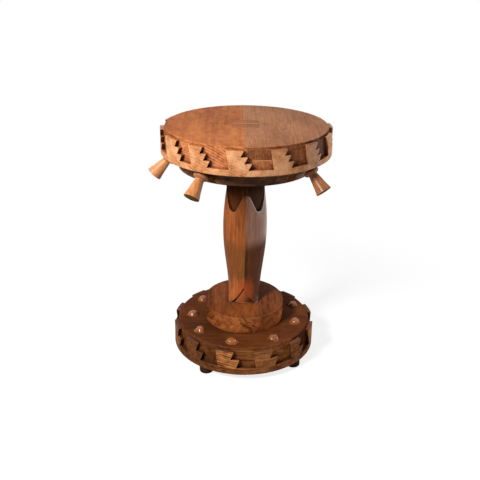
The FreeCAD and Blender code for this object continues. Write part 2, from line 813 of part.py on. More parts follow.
def make_plinth():
    """The plinth: flat under the column, with a crown that lies off its axis, so that
    the top falls away furthest on the side across from the crown."""
    blank = doc.addObject("Part::Cylinder", "plinth_blank")
    blank.setExpression("Radius", PLINTH_RADIUS)
    blank.setExpression("Height", "sizes.plinth_thickness")
    blank.setExpression("Placement.Base.z", BASE_TOP)
    reach = f"({PLINTH_RADIUS} + sizes.plinth_crown_offset + sizes.overrun)"
    fall = f"(({reach} - sizes.plinth_flat_radius) * tan(sizes.plinth_slope_angle))"
    crown = turned_body(
        "plinth_crown",
        [
            ("0", f"{BASE_TOP} - sizes.overrun"),
            (reach, f"{BASE_TOP} - sizes.overrun"),
            (reach, f"{PLINTH_TOP} - {fall}"),
            ("sizes.plinth_flat_radius", PLINTH_TOP),
            ("0", PLINTH_TOP),
        ],
        {2: "sizes.plinth_crown_bulge"},
    )
    place = ring_place("sizes.plinth_crown_offset", "0", "sizes.plinth_crown_angle")
    crown.setExpression("Placement", place)
    crowned = doc.addObject("Part::MultiCommon", "crowned_plinth")
    crowned.Shapes = [blank, crown]
    hole = mortise(
        "plinth_mortise", "sizes.lower_tenon", "sizes.lower_tenon",
        f"({BASE_TOP} - sizes.overrun)", "sizes.plinth_thickness + 2 * sizes.overrun",
    )
    piece("plinth", cut_from("drilled_plinth", crowned, [hole]))


def knob_places():
    return [
        ring_place(f"({KNOB_RING} * {share})", BASE_TOP, f"sizes.knob_{index}_angle")
        for index, share in enumerate(KNOB_RING_SHARES, start=1)
    ]


def foot_places(level):
    turns = [f"sizes.foot_{index}_angle" for index in range(1, FOOT_COUNT + 1)]
    return [ring_place(FOOT_RING, level, turn) for turn in turns]


def make_base():
    """The carved base disc, bored for the knobs, the column's tenon and the foot screws."""
    words = [
        BASE_RADIUS, "sizes.base_top_radius", BASE_FLOOR,
        "sizes.base_recess_count", "sizes.base_recess_width",
        "sizes.base_tooth_height", "sizes.base_tooth_step", "sizes.base_tooth_slant",
        "sizes.base_panel_lean", "sizes.base_panel_drop",
        "sizes.frieze_edge_round", "sizes.base_edge_round",
    ]
    disc = carved_disc(
        "carved_base", words, BASE_BOTTOM, "sizes.base_thickness", BASE_TEETH, BASE_SIDE_SHARES,
    )
    stand(disc, "sizes.base_recess_angle")
    hole = mortise(
        "base_mortise", "sizes.lower_tenon", "sizes.lower_tenon",
        f"({BASE_BOTTOM} - sizes.overrun)", "sizes.base_thickness + 2 * sizes.overrun",
    )
    knob_bore = doc.addObject("Part::Cylinder", "knob_bore")
    knob_bore.setExpression("Radius", "sizes.knob_spigot_radius + sizes.joint_gap")
    knob_bore.setExpression("Height", "sizes.knob_spigot_depth + sizes.joint_gap + sizes.overrun")
    knob_bore.setExpression("Placement.Base.z", "-(sizes.knob_spigot_depth + sizes.joint_gap)")
    foot_bore = screw_bore("base_screw_bore", "sizes.foot_screw_length", "sizes.foot_screw_sink")
    holes = [hole] + copies("knob_bore_at", knob_bore, knob_places())
    holes += copies("base_screw_bore_at", foot_bore, foot_places("sizes.foot_screw_sink"))
    piece("base_disc", cut_from("drilled_base", disc, holes))


def make_knobs():
    """The low carved knobs, each with a round spigot."""
    for index, place in enumerate(knob_places(), start=1):
        body = turned_body(
            f"knob_{index}",
            [
                ("0", "-sizes.knob_spigot_depth"),
                ("sizes.knob_spigot_radius", "-sizes.knob_spigot_depth"),
                ("sizes.knob_spigot_radius", "0"),
                ("sizes.knob_radius", "0"),
                ("0", "sizes.knob_height"),
            ],
            {3: DOME},
        )
        body.setExpression("Placement", place)
        piece(f"base_knob_{index}", body)


def make_feet():
    bore = screw_bore("foot_bore", "sizes.foot_screw_length", "sizes.foot_screw_sink + sizes.overrun")
    for index, place in enumerate(foot_places("0"), start=1):
        blank = turned_body(
            f"foot_{index}",
            [
                ("0", "0"),
                ("sizes.foot_radius - sizes.foot_round", "0"),
                ("sizes.foot_radius", "sizes.foot_round"),
                ("sizes.foot_radius", "sizes.foot_height"),
                ("0", "sizes.foot_height"),
            ],
            {1: f"sizes.foot_round * {QUARTER_BULGE_SHARE}"},
        )
        blank.setExpression("Placement", place)
        (hole,) = copies(f"foot_{index}_bore", bore, [foot_places("sizes.foot_screw_sink")[index - 1]])
        piece(f"foot_pad_{index}", cut_from(f"foot_{index}_drilled", blank, [hole]))
    shape = screw("foot_screw", "sizes.foot_screw_length")
    group = doc.addObject("Part::Compound", "foot_screw_group")
    group.Links = copies("foot_screw_at", shape, foot_places("sizes.foot_screw_sink"))
    piece("foot_screws", group)


def check_and_write():
    """Stop on any failed object or bad solid, then write each sub-part."""
    doc.recompute()
    for thing in doc.Objects:
        if "Invalid" in thing.State or "Error" in thing.State:
            raise RuntimeError(f"{thing.Name} failed: {thing.State}")
    for label, thing in pieces.items():
        if thing.Shape.isNull() or not thing.Shape.isValid() or not thing.Shape.Solids:
            raise RuntimeError(f"{label} has no good solid")
    os.makedirs("parts", exist_ok=True)
    for label, thing in pieces.items():
        thing.Shape.exportStep(f"parts/{label}.step")
        box = thing.Shape.BoundBox
        print(f"{label}: {len(thing.Shape.Solids)} solid, {thing.Shape.Volume / 1000:.1f} cm3, "
              f"z {box.ZMin:.1f} to {box.ZMax:.1f}")


make_boards()
make_cleat()
make_pegs()
make_column()
make_wedges()
make_plinth()
make_base()
make_knobs()
make_feet()
check_and_write()
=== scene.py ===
# %% [markdown]
# # A side table carved like a drum
#
# The table is a stack of varnished hardwood: two thick boards with a stepped
# frieze, a dark disc with slanted drum pegs, a bowed four-sided column, a
# plinth and a second carved disc with knobs. The solids come from the packed
# model, so this lesson spends its time on what they don't have: the soft
# turned pegs and hand-cut knobs, the wood itself, and the light.

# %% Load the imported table
import math

import bmesh
import bpy
from mathutils import Matrix, Vector, noise


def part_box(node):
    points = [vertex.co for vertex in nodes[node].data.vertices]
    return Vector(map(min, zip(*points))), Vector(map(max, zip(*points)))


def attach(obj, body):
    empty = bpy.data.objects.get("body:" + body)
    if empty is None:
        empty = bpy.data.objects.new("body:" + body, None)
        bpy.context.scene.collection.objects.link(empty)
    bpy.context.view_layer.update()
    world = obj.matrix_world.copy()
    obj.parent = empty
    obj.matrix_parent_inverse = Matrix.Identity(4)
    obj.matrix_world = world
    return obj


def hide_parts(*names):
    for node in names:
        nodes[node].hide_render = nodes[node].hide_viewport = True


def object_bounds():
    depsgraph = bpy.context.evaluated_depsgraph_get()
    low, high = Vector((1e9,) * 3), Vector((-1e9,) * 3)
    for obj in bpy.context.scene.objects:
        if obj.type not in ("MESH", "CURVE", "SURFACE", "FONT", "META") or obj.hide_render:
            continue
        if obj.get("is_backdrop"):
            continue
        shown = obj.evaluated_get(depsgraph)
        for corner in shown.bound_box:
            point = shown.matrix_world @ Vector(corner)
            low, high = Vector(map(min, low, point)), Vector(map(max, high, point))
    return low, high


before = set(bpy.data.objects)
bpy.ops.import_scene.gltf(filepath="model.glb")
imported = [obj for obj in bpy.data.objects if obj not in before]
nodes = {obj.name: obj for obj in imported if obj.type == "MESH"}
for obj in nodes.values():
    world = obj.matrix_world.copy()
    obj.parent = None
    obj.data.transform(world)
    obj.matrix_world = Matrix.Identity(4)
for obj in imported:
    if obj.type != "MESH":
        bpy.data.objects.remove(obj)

cad_low, cad_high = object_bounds()
TABLE_TOP = cad_high.z
print(f"{len(nodes)} solids, {TABLE_TOP * 1000:.0f} mm high")

# %% [markdown]
# ## Where the viewer stands
#
# A product picture of a small table is taken from a little above the top, with
# a long lens. The table's front is one arris of its column, which stands on the
# diagonal between the X and Y axes, and the camera is placed before it. A
# heading about Z, a tilt about X and a last small roll are easier to read than
# one ready-made angle.

# %% Place the camera
FRONT = Vector((1, -1, 0)).normalized()
RIGHT = Vector((1, 1, 0)).normalized()
UP = Vector((0, 0, 1))
STAND_OFF = 1.6368
EYE_HEIGHT = 1.0146
HEADING, TILT, ROLL = 45.42, 66.29, 0.75
SENSOR_WIDTH, FOCAL_LENGTH = 36, 54

camera = bpy.data.objects.new("camera", bpy.data.cameras.new("camera"))
bpy.context.scene.collection.objects.link(camera)
bpy.context.scene.camera = camera
camera.data.sensor_width = SENSOR_WIDTH
camera.data.lens = FOCAL_LENGTH
camera.matrix_world = (
    Matrix.Translation(FRONT * STAND_OFF + UP * EYE_HEIGHT)
    @ Matrix.Rotation(math.radians(HEADING), 4, "Z")
    @ Matrix.Rotation(math.radians(TILT), 4, "X")
    @ Matrix.Rotation(math.radians(ROLL), 4, "Z")
)
print(f"the camera stands {STAND_OFF:.2f} m off, {EYE_HEIGHT:.2f} m up")

# %% [markdown]
# ## Shader maths that reads like maths
#
# Wood needs dozens of small sums: distances, fractions, masks. Written as
# separate node calls they are hard to follow. A thin class round a socket lets
# a line such as `1 - mask * 0.5` add its own Math nodes. Everything else goes
# through one method, which sets a node's settings first and its sockets after.

# %% A value that can be added and multiplied
class Value:
    """One output of a node. Arithmetic on it adds Math nodes."""

    def __init__(self, graph, socket):
        self.graph = graph
        self.socket = socket

    def output(self, name):
        """Another output of the same node."""
        return Value(self.graph, self.socket.node.outputs[name])

    def __add__(self, other):
        return self.graph.math("ADD", self, other)

    def __sub__(self, other):
        return self.graph.math("SUBTRACT", self, other)

    def __rsub__(self, other):
        return self.graph.math("SUBTRACT", other, self)

    def __mul__(self, other):
        return self.graph.math("MULTIPLY", self, other)

    def __truediv__(self, other):
        return self.graph.math("DIVIDE", self, other)

    def __pow__(self, other):
        return self.graph.math("POWER", self, other)

    __radd__ = __add__
    __rmul__ = __mul__


print("values can be added, taken away, multiplied, divided and raised")


# %% A graph that adds its own nodes
class Graph:
    """The node tree of one material or of the world."""

    def __init__(self, owner):
        owner.use_nodes = True
        self.tree = owner.node_tree

    def node(self, kind, settings=None, sockets=None, out=0):
        """Add a node: its settings first, then the values or links of its sockets."""
        made = self.tree.nodes.new(kind)
        for name, setting in (settings or {}).items():
            if name == "stops":
                self.set_stops(made.color_ramp, setting)
            else:
                setattr(made, name, setting)
        for key, given in (sockets or {}).items():
            self.feed(made.inputs[key], given)
        return Value(self, made.outputs[out]) if made.outputs else None

    def feed(self, socket, given):
        """Link a value to a socket, or set a plain number or colour on it."""
        if isinstance(given, Value):
            self.tree.links.new(given.socket, socket)
        else:
            socket.default_value = given

    def set_stops(self, ramp, stops):
        """Give a ramp its (position, colour) stops."""
        while len(ramp.elements) < len(stops):
            ramp.elements.new(1)
        for element, (position, colour) in zip(ramp.elements, stops):
            element.position = position
            element.color = (*colour, 1)

    def math(self, operation, *terms):
        """One sum on numbers."""
        return self.node("ShaderNodeMath", {"operation": operation}, dict(enumerate(terms)))

    def vector(self, operation, *terms, out="Vector"):
        """One sum on vectors."""
        settings = {"operation": operation}
        return self.node("ShaderNodeVectorMath", settings, dict(enumerate(terms)), out)

    def scaled(self, vector, factor):
        """A vector made longer or shorter."""
        settings = {"operation": "SCALE"}
        return self.node("ShaderNodeVectorMath", settings, {0: vector, "Scale": factor})

    def smooth(self, value, low, high):
        """0 below low, 1 above high, and a soft step between them."""
        return self.node(
            "ShaderNodeMapRange",
            {"interpolation_type": "SMOOTHSTEP"},
            {"Value": value, "From Min": low, "From Max": high},
        )

    def blend(self, factor, under, over):
        """One colour laid over another by a factor."""
        under, over = (c if isinstance(c, Value) else (*c, 1) for c in (under, over))
        colours = {0: factor, 6: under, 7: over}
        return self.node("ShaderNodeMix", {"data_type": "RGBA"}, colours, 2)


print("a graph adds its nodes by one method")

# %% [markdown]
# ## The studio
#
# The light is that of a small product studio: a soft box high on the left in
# front, and a lower one on the right that draws a grey sheen on varnish. The
# world fills the shadows. For the camera and for reflections the world and the
# floor are plain white, which Light Path tells apart from the light that falls
# on the wood, so the lamps can stay at a plain level.

# %% Hang the lamps
bpy.context.scene.view_settings.view_transform = "Standard"
MIDDLE = UP * TABLE_TOP / 2


def soft_box(name, place, width, height, watts):
    """A rectangular lamp that looks at the middle of the table."""
    data = bpy.data.lights.new(name, "AREA")
    data.shape = "RECTANGLE"
    data.size, data.size_y, data.energy = width, height, watts
    lamp = bpy.data.objects.new(name, data)
    lamp.visible_camera = False
    lamp.location = place
    lamp.rotation_euler = (MIDDLE - place).to_track_quat("-Z", "Y").to_euler()
    bpy.context.scene.collection.objects.link(lamp)
    print(f"{name}: {place.length:.2f} m from the table's foot, {watts} W")


soft_box("key_lamp", RIGHT * -1.25 + FRONT * 1.4 + UP * 1.75, 0.6, 0.6, watts=68)
soft_box("side_lamp", RIGHT * 1.29 + FRONT * -0.16 + UP * 0.42, 0.8, 0.9, watts=7.5)

# %% White for the eye, soft for the wood
WHITE = (1, 1, 1, 1)
FILL_STRENGTH = 0.16


def seen_directly(graph):
    """1 for camera rays, reflections and what shows through glass, else 0."""
    path = graph.node("ShaderNodeLightPath", out="Is Camera Ray")
    seen = path + path.output("Is Glossy Ray") + path.output("Is Transmission Ray")
    return graph.math("MINIMUM", seen, 1)


world = bpy.data.worlds.new("studio")
bpy.context.scene.world = world
sky = Graph(world)
sky.tree.nodes.clear()
fill = sky.node("ShaderNodeBackground", None, {"Color": WHITE, "Strength": FILL_STRENGTH})
white = sky.node("ShaderNodeBackground", None, {"Color": WHITE, "Strength": 1.0})
shown = sky.node("ShaderNodeMixShader", None, {0: seen_directly(sky), 1: fill, 2: white})
sky.node("ShaderNodeOutputWorld", None, {"Surface": shown})
print(f"the world fills the shadows at {FILL_STRENGTH}")

# %% [markdown]
# ## The floor
#
# The floor is pale paper. Seen directly it glows a little, so that it reaches
# the white of the background, and a weak matt part keeps the table's shadow.
# The shadow fades out before the paper ends, where only plain white is left.

# %% Lay the floor
FLOOR_RADIUS = 5
SHADOW_WHOLE, SHADOW_GONE = 0.3, 0.9
PAPER = (0.5, 0.5, 0.5, 1)
SHADOW_PAPER, PAPER_GLOW = (0.3, 0.3, 0.3, 1), 0.8

mesh = bpy.data.meshes.new("studio_floor")
shape = bmesh.new()
bmesh.ops.create_circle(shape, cap_ends=True, segments=64, radius=FLOOR_RADIUS)
shape.to_mesh(mesh)
shape.free()
floor = bpy.data.objects.new("studio_floor", mesh)
bpy.context.scene.collection.objects.link(floor)
floor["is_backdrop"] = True

paper = bpy.data.materials.new("studio_floor")
ground = Graph(paper)
ground.tree.nodes.clear()
matt = ground.node("ShaderNodeBsdfDiffuse", None, {"Color": PAPER})
shade = ground.node("ShaderNodeBsdfDiffuse", None, {"Color": SHADOW_PAPER})
glow = ground.node("ShaderNodeEmission", None, {"Color": WHITE, "Strength": PAPER_GLOW})
plain = ground.node("ShaderNodeEmission", None, {"Color": WHITE, "Strength": 1.0})
near = ground.node("ShaderNodeAddShader", None, {0: shade, 1: glow})
spot = ground.node("ShaderNodeTexCoord", out="Object")
away = ground.vector("LENGTH", spot, out="Value")
away = ground.smooth(away, SHADOW_WHOLE, SHADOW_GONE)
lit = ground.node("ShaderNodeMixShader", None, {0: away, 1: near, 2: plain})
shown = ground.node("ShaderNodeMixShader", None, {0: seen_directly(ground), 1: matt, 2: lit})
ground.node("ShaderNodeOutputMaterial", None, {"Surface": shown})
mesh.materials.append(paper)
print(f"the floor is {2 * FLOOR_RADIUS} m across")

# %% [markdown]
# ## Solid wood
#
# Real wood is a bundle of growth rings round a pith, and every cut face shows
# a section of them. So the pattern is worked out in space: one direction for
# the trunk, one point on its pith, and the distance from that line gives the
# rings. Flat cuts then show arches and stripes, and end cuts show arcs, with
# no seams where faces meet. Fibres and pores are noise stretched lengthwise.
#
# Two more masks come from the shape. A Bevel node compares the true corner
# with a rounded one, which finds edges that hands have polished, and ambient
# occlusion finds the corners and narrow seams, which get painted shade.

# %% The wood pattern
EDGE_ROUND = 0.0016
CORNER_REACH = 0.022
MASK_SAMPLES = {"samples": 6}
GRAIN_DEPTH, GRAIN_STRENGTH = 0.0006, 0.3
# painted shade: how strongly narrow seams are darkened, and the dark colour for corners and
# seams, which elsewhere is real dust in cracks and gouge strokes
SEAM_SHADE = 0.75
DUST_AND_SHADE = (0.035, 0.012, 0.006)
WORN_TAN = (0.78, 0.40, 0.18)


class Wood(Graph):
    """Solid wood whose trunk ran along one direction past one point."""

    def __init__(self, name, along, pith, ring_gap=0.005, waver=0.02, taper=0.0, crevice=0.004):
        self.material = bpy.data.materials.new(name)
        super().__init__(self.material)
        self.point = self.node("ShaderNodeTexCoord", out="Object")
        along = Vector(along).normalized()
        offset = self.vector("SUBTRACT", self.point, pith)
        run = self.vector("DOT_PRODUCT", offset, along, out="Value")
        self.lengthwise = self.scaled(along, run)
        self.across = self.vector("SUBTRACT", offset, self.lengthwise)
        # the rings: distance from the pith, bent by slow and quick noise
        distance = self.vector("LENGTH", self.across, out="Value")
        slow = self.noise(11, 0.14, detail=1.5) - 0.5
        quick = self.noise(60, 0.07, detail=2) - 0.5
        phase = (distance + slow * waver + quick * 0.003 + run * taper) / ring_gap
        fraction = self.math("FRACT", phase)
        self.ring = self.smooth(fraction, 0.1, 0.8) * (1 - self.smooth(fraction, 0.8, 1.0))
        # what is finer and broader than the rings
        self.streak = self.noise(170, 0.04, detail=4, roughness=0.6)
        self.fibre = self.noise(650, 0.03, detail=3, roughness=0.65)
        self.pore = self.smooth(self.noise(900, 0.03, detail=2), 0.58, 0.7)
        self.cloud = self.noise(16, 0.35, detail=3)
        self.mottle = self.noise(75, 0.6, detail=3, roughness=0.6)
        self.find_edges(crevice)

    def noise(self, scale, stretch, detail=2.0, roughness=0.5):
        """Noise that is drawn out along the grain."""
        place = self.vector("ADD", self.across, self.scaled(self.lengthwise, stretch))
        sockets = {"Vector": place, "Scale": scale, "Detail": detail, "Roughness": roughness}
        return self.node("ShaderNodeTexNoise", None, sockets)

    def find_edges(self, crevice):
        """Masks for edges that use has polished, and for painted shade in corners and in the
        narrow seams in them.
        """
        self.rounded = self.node("ShaderNodeBevel", MASK_SAMPLES, {"Radius": EDGE_ROUND})
        normal = self.node("ShaderNodeNewGeometry", out="Normal")
        sameness = self.vector("DOT_PRODUCT", self.rounded, normal, out="Value")
        corner = self.smooth(1 - sameness, 0.01, 0.2)
        openness, close = (
            self.node("ShaderNodeAmbientOcclusion", MASK_SAMPLES, {"Distance": reach}, "AO")
            for reach in (CORNER_REACH, crevice)
        )
        self.edge = corner * self.smooth(openness, 0.45, 0.85)
        # painted shade: narrow seams and deep corners that ambient occlusion finds
        self.crevice = 1 - self.smooth(close, 0.35, 0.8)
        self.shaded_corner = 1 - self.smooth(openness, 0.15, 0.75)

    def toward(self, way):
        """How far a spot lies in one direction."""
        return self.vector("DOT_PRODUCT", self.point, way, out="Value")

    def distance(self, place):
        """How far a spot lies from one place."""
        return self.vector("DISTANCE", self.point, place, out="Value")

    def colour(
        self, pale, body, deep,
        rings=0.1, streaks=1.0, fibres=0.6, clouds=0.9, mottles=0.5,
    ):
        """From pale to deep wood, by rings, streaks, fibres, clouds and finer mottling."""
        tone = (self.ring - 0.4) * rings + (self.streak - 0.5) * streaks + 0.45
        tone = tone + (self.fibre - 0.5) * fibres + (self.cloud - 0.5) * clouds
        tone = tone + (self.mottle - 0.5) * mottles
        ramp = {"stops": [(0.1, pale), (0.45, body), (0.9, deep)]}
        stained = self.node("ShaderNodeValToRGB", ramp, {"Fac": tone})
        return self.blend(self.pore * fibres * 0.4, stained, deep)

    def finish(self, colour, worn_and_highlight, gloss, shade_colour=DUST_AND_SHADE, wear_and_highlight=0.4, shade_in_corners=0.85, spread=0.14):
        """Edges grow paler with use, and on some parts as a painted highlight; corners get
        painted shade; varnish lies over it all.
        """
        # edges turn paler: wear, and on some parts a painted highlight
        colour = self.blend(self.edge * wear_and_highlight, colour, worn_and_highlight)
        # painted shade in corners and narrow seams
        colour = self.blend(self.shaded_corner * shade_in_corners, colour, shade_colour)
        colour = self.blend(self.crevice * SEAM_SHADE, colour, shade_colour)
        height = self.fibre * 0.6 + self.ring * 0.08 - self.pore * 0.8
        grain = {"Strength": GRAIN_STRENGTH, "Distance": GRAIN_DEPTH}
        grain.update({"Height": height, "Normal": self.rounded})
        matt = self.cloud * 0.16 + self.fibre * 0.1 + self.shaded_corner * 0.2
        surface = {
            "Base Color": colour,
            "Roughness": matt + 0.4,
            "Normal": self.node("ShaderNodeBump", None, grain),
            "Coat Weight": (1 - self.shaded_corner * 0.8) * gloss,
            "Coat Roughness": spread,
            "Specular IOR Level": 0.0,
        }
        shader = self.tree.nodes["Principled BSDF"]
        for name, given in surface.items():
            self.feed(shader.inputs[name], given)
        return self.material


print(f"wood with edges rounded by {EDGE_ROUND * 1000:.1f} mm")


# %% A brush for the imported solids
def paint(material, *names):
    """Give CAD solids their material."""
    for name in names:
        nodes[name].data.materials.clear()
        nodes[name].data.materials.append(material)
    print(f"{material.name}: {', '.join(names)}")


print(f"{len(nodes)} solids wait for their finish")

# %% [markdown]
# ## The frieze
#
# Both carved discs have a rim of proud panels whose right side steps outwards
# in teeth, with sunk fields between them and a band below. The panels were
# sanded and the fields weren't, so the panels are pale and the fields darker.
# One wood pattern can't know where it is, so masks tell it: how far out a spot
# lies, how high, and which way its face looks. A field's floor, a tooth's wall
# and the ledge over the rim differ only in the last of these.

# %% Where a spot lies on a rim
LEVEL = (1, 1, 0)
ACROSS_X, ACROSS_Y = (1, 0, 0), (0, 1, 0)


def from_axis(wood):
    """How far out a spot lies from the table's axis."""
    flat = wood.vector("MULTIPLY", wood.point, LEVEL)
    return wood.vector("LENGTH", flat, out="Value")


def looks(wood):
    """Masks for faces that look outwards, onwards round the rim, and up."""
    normal = wood.node("ShaderNodeNewGeometry", out="True Normal")
    outward = wood.vector("NORMALIZE", wood.vector("MULTIPLY", wood.point, LEVEL))
    onward = wood.vector("CROSS_PRODUCT", UP, outward)
    return [
        wood.smooth(wood.vector("DOT_PRODUCT", normal, way, out="Value"), low, high)
        for way, low, high in ((outward, 0.75, 0.9), (onward, 0.3, 0.6), (UP, 0.8, 0.95))
    ]


def dealt(wood, number, share, start):
    """A number from 0 to 1 for each panel or field, so that no two are alike."""
    return wood.math("FRACT", wood.math("FLOOR", number) * share + start)


print("a rim is read by radius, height and the way its faces look")

# %% Colour a carved rim
PANEL_HEIGHT = 0.009
# near-black painted shade for the walls of the teeth
TOOTH_SHADE = (0.018, 0.007, 0.004)
STROKE_GAP, STROKE_SLANT = 0.0028, 0.75


def hatching(wood, angle, height, lip):
    """The slanted strokes that a gouge leaves."""
    stroke = (angle * lip - height * STROKE_SLANT) / STROKE_GAP + (wood.fibre - 0.5) * 1.4
    return wood.smooth(wood.math("PINGPONG", stroke, 1), 0.15, 0.85)


def frieze(wood, colour, panel, field, rim):
    """A carved rim laid over the wood's colour, and how much varnish it took."""
    lip, ledge, band = rim["lip"], rim["ledge"], rim["band"]
    out, height = from_axis(wood), wood.toward(UP)
    angle = wood.math("ARCTAN2", wood.toward(ACROSS_Y), wood.toward(ACROSS_X))
    number = (angle - math.radians(rim["turn"])) / (math.tau / rim["count"])
    looks_out, looks_on, looks_up = looks(wood)

    proud = wood.smooth(out, lip + PANEL_HEIGHT - 0.0005, lip + PANEL_HEIGHT + 0.0005)
    sunk = looks_out * wood.smooth(out, lip - 0.0012, lip - 0.0002) * (1 - proud)
    shelf = looks_up * wood.smooth(out, lip + 0.001, lip + 0.002)
    below = 1 - wood.smooth(height, ledge - 0.0007, ledge - 0.0004)
    in_band = 1 - wood.smooth(height, band - 0.001, band + 0.001)

    # no two panels took the stain alike, and a few fields are the darkest
    duller = dealt(wood, number, 0.37, 0.39) * (1 - in_band) + in_band * 0.5
    panel = wood.blend(duller * rim["uneven"], panel, field)
    worst = wood.smooth(dealt(wood, number + 0.5, 0.23, 0.5), 0.75, 0.95)
    field = wood.blend(worst * 0.8, field, DUST_AND_SHADE)
    colour = wood.blend(proud * below, colour, panel)
    colour = wood.blend(sunk * 0.9, colour, field)

    # some fields are hatched over their upper half, down to a pale strip
    picked = wood.smooth(dealt(wood, number + 0.5, 0.3, 0.7), 0.62, 0.66)
    picked = picked * sunk * below * rim["hatched"]
    half_way = (ledge + band) / 2 - 0.003
    upper = wood.smooth(height, half_way - 0.0005, half_way + 0.0005)
    strip = upper * (1 - wood.smooth(height, half_way + 0.001, half_way + 0.002))
    stroke = hatching(wood, angle, height, lip)
    colour = wood.blend(stroke * upper * picked * 0.5, colour, DUST_AND_SHADE)
    colour = wood.blend(strip * picked * 0.6, colour, WORN_TAN)

    # the teeth's walls get near-black painted shade, and the ledge caught most of the varnish
    in_teeth = looks_on * wood.smooth(out, lip + 0.0003, lip + 0.001)
    return wood.blend(in_teeth * 0.78, colour, TOOTH_SHADE), shelf - sunk * 0.2


print(f"panels stand {PANEL_HEIGHT * 1000:.0f} mm proud")

# %% [markdown]
# ## The two top boards
#
# The boards are glued side by side and were carved as one, but they come from
# different trees: the left one is warm orange, the right one browner, with an
# arched figure where the saw ran close to the pith. Both have their grain
# along the seam. Stains are kept in threes: pale, body and deep wood.

# %% The boards' grain runs along the seam
SEAM_TURN = math.radians(47.1)
SEAM_ALONG = Vector((-math.sin(SEAM_TURN), math.cos(SEAM_TURN), 0))
SEAM_ACROSS = Vector((math.cos(SEAM_TURN), math.sin(SEAM_TURN), 0))
SANDED_PANEL = ((0.76, 0.39, 0.20), (0.60, 0.265, 0.11), (0.34, 0.115, 0.04))
TOP_RIM = {
    "lip": 0.190, "ledge": TABLE_TOP - 0.0055, "band": TABLE_TOP - 0.0487,
    "count": 14, "turn": 51.1 - 90, "hatched": 1, "uneven": 0.35,
}
print(f"{TOP_RIM['count']} panels round the top")

# %% Left board
ORANGE = ((0.66, 0.215, 0.06), (0.50, 0.145, 0.035), (0.25, 0.055, 0.012))
ORANGE_FIELD = ((0.56, 0.22, 0.095), (0.39, 0.125, 0.044), (0.16, 0.045, 0.015))

pith = SEAM_ACROSS * -0.16 + UP * 0.30
orange = Wood("board_orange", SEAM_ALONG, pith, ring_gap=0.006, waver=0.03)
colour = orange.colour(*ORANGE, streaks=0.5, fibres=0.35, clouds=1.1, mottles=0.8)
panel = orange.colour(*SANDED_PANEL, streaks=0.8, clouds=1.8, mottles=1.0)
field = orange.colour(*ORANGE_FIELD, rings=0.4, mottles=1.8)
colour, varnish = frieze(orange, colour, panel, field, TOP_RIM)
paint(orange.finish(colour, WORN_TAN, gloss=varnish * 0.5 + 0.14), "top_board_left")

# %% Right board
BROWN = ((0.56, 0.235, 0.095), (0.41, 0.15, 0.052), (0.22, 0.065, 0.02))
BROWN_FIELD = ((0.44, 0.155, 0.056), (0.27, 0.085, 0.03), (0.08, 0.02, 0.007))

pith = SEAM_ACROSS * 0.082 + UP * 0.572
brown = Wood("board_brown", SEAM_ALONG, pith, ring_gap=0.0055, waver=0.016, taper=-0.07)
colour = brown.colour(*BROWN, rings=0.13, streaks=0.8, clouds=1.0)
panel = brown.colour(*SANDED_PANEL, streaks=0.8, clouds=1.8, mottles=1.0)
field = brown.colour(*BROWN_FIELD, mottles=1.2)
colour, varnish = frieze(brown, colour, panel, field, TOP_RIM)
paint(brown.finish(colour, WORN_TAN, gloss=varnish * 0.5 + 0.2), "top_board_right")

# %% [markdown]
# ## The disc under the boards
#
# It is nearly black-brown, partly from its stain and partly as painted shade
# for the rim's shadow, in which it also lies. Its grain crosses that of the
# boards, which keeps the top from warping.

# %% The dark disc
# a dark stain, made darker still as painted shade for the rim's shadow
DARK = ((0.34, 0.13, 0.047), (0.14, 0.051, 0.019), (0.03, 0.011, 0.005))

under = Wood("dark_wood", SEAM_ACROSS, (0.05, 0.3, 0.40), ring_gap=0.006)
colour = under.colour(*DARK, clouds=1.8)
paint(under.finish(colour, (0.2, 0.07, 0.03), gloss=0.15), "under_disc")

# %% [markdown]
# ## The column
#
# One squared trunk, carved with a gouge. The grain stands upright, so every
# face shows long stripes. The right side, turned from the key lamp, is painted
# dark below as shade, and above it has a painted grey sheen, a painted
# reflection added to the side lamp's real one in its varnish. A dark band runs
# just right of the front arris, and a reddish patch lies round its foot. Each
# mark is a mask in space, laid over the wood in turn, so every later mark
# covers the ones before it.

# %% The upright trunk
TRUNK = ((0.44, 0.14, 0.036), (0.29, 0.077, 0.018), (0.13, 0.03, 0.007))
RIGHT_SIDE_SHADE = (0.07, 0.02, 0.005)
SHEEN_PALE, SHEEN_DEEP = (0.34, 0.21, 0.14), (0.20, 0.11, 0.07)
WAIST = (0.14, 0.046, 0.009)

trunk = Wood("column_wood", (0.01, 0.012, 1), (-0.16, 0.10, 0.3), crevice=0.008)
colour = trunk.colour(*TRUNK, streaks=1.1, clouds=0.8)
out, height, rightward = from_axis(trunk), trunk.toward(UP), trunk.toward(RIGHT)
uneven = (trunk.streak - 0.5) * 0.03 + (trunk.cloud - 0.5) * 0.02
shaded_side = trunk.smooth(rightward + uneven * 0.4, 0, 0.006)
lower = 1 - trunk.smooth(height + uneven, 0.285, 0.325)
# painted shade: the right side is drawn dark below its middle
colour = trunk.blend(shaded_side * lower * 0.8, colour, RIGHT_SIDE_SHADE)
# painted reflection: a grey sheen on the right side above, over the side lamp's real reflection
painted_sheen = trunk.blend(trunk.smooth(trunk.streak, 0.35, 0.65), SHEEN_PALE, SHEEN_DEEP)
colour = trunk.blend(shaded_side * (1 - lower) * 0.35, colour, painted_sheen)
waist = lower * trunk.smooth(height + uneven, 0.185, 0.215) * (1 - shaded_side)
colour = trunk.blend(waist * 0.65, colour, WAIST)
# darker band just right of the front arris, at the belly
beside = trunk.smooth(rightward, 0.0002, 0.0012) * (1 - trunk.smooth(rightward, 0.004, 0.01))
belly = trunk.smooth(height, 0.17, 0.20) * (1 - trunk.smooth(height, 0.25, 0.36))
colour = trunk.blend(beside * belly * 0.9, colour, DUST_AND_SHADE)
print("the trunk stands upright, with its heart to the right")

